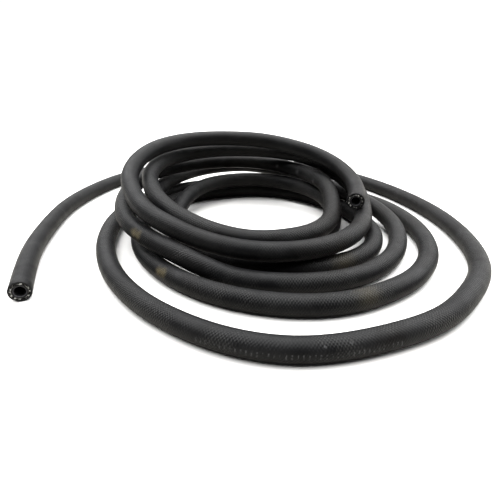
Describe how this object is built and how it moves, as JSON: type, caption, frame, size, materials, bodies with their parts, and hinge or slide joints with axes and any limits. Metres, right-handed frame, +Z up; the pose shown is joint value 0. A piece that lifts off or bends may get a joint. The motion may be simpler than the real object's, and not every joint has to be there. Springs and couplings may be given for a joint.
{
  "type": "fuel hose",
  "caption": "Black rubber fuel hose with an inner tube, textile braid and outer cover, cut square at both ends and lying in a loose coil.",
  "frame": {"origin": "middle of the coil's footprint, on the floor that it lies on", "axes": "+Z up; the lower end's mouth looks along -Y; the coil is longest along Y"},
  "size_m": [0.3278, 0.3688, 0.0657],
  "materials": {
    "inner_tube": "smooth black extruded rubber, cut faces matt",
    "textile_braid": "off-white textile yarn, bonded in rubber and seen only at the cut ends",
    "outer_cover": "satin black rubber with a fine wrapped-cloth imprint"
  },
  "bodies": {
    "root": {"inner_tube": "inner_tube", "textile_braid": "textile_braid", "outer_cover": "outer_cover"}
  },
  "joints": []
}
